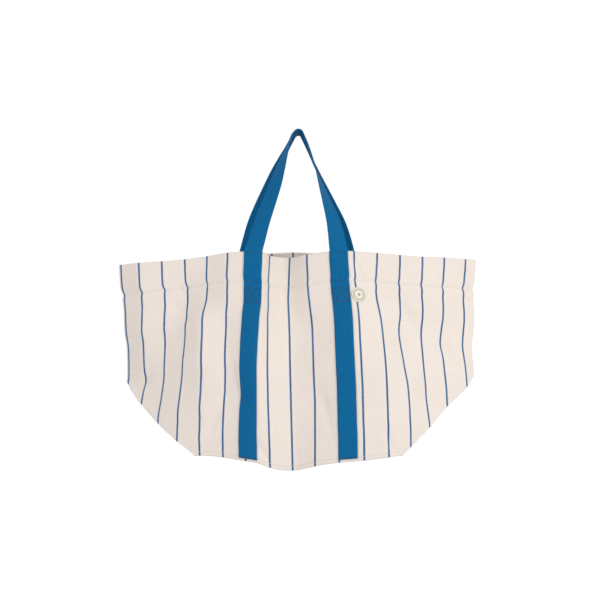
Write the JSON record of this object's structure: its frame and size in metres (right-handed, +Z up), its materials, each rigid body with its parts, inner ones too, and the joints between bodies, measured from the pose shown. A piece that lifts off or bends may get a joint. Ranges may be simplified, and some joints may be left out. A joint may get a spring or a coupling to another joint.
{
  "type": "mail sack",
  "caption": "Large open-topped striped canvas sack hung up empty by two webbing handles, with boxed base, turned hem and box-stitched straps.",
  "frame": {"origin": "hang point, just under the tops of both handles where one hook or peg carries the sack", "axes": "+X across the sack to the viewer's right, +Y from the front to the back, +Z up"},
  "size_m": [0.8014, 0.3647, 0.7083],
  "materials": {
    "canvas": "matt woven cotton canvas, cream with fine blue stripes 50 mm apart",
    "webbing": "dense ribbed herringbone webbing",
    "thread": "twisted sewing thread",
    "label": "smooth woven cotton patch"
  },
  "bodies": {
    "sack": {"front_panel": "canvas", "back_panel": "canvas", "base_panel": "canvas", "front_hem": "canvas", "back_hem": "canvas", "left_side_seam": "canvas", "right_side_seam": "canvas", "base_seam_tape": "canvas", "front_strap_left": "webbing", "front_strap_right": "webbing", "back_strap_left": "webbing", "back_strap_right": "webbing", "front_box_stitch_left": "thread", "front_box_stitch_right": "thread", "back_box_stitch_left": "thread", "back_box_stitch_right": "thread", "hem_stitching": "thread", "base_stitching": "thread", "label_stitching": "thread", "label_patch": "label"},
    "front_loop": {"front_handle": "webbing"},
    "back_loop": {"back_handle": "webbing"}
  },
  "joints": [
    {"name": "front_handle_fold", "type": "hinge", "parent": "sack", "child": "front_loop", "pos_m": [0, -0.0771, -0.254], "axis": [1, 0, 0], "range_deg": [0, 160]},
    {"name": "back_handle_fold", "type": "hinge", "parent": "sack", "child": "back_loop", "pos_m": [0, 0.0771, -0.254], "axis": [-1, 0, 0], "range_deg": [0, 125]}
  ]
}
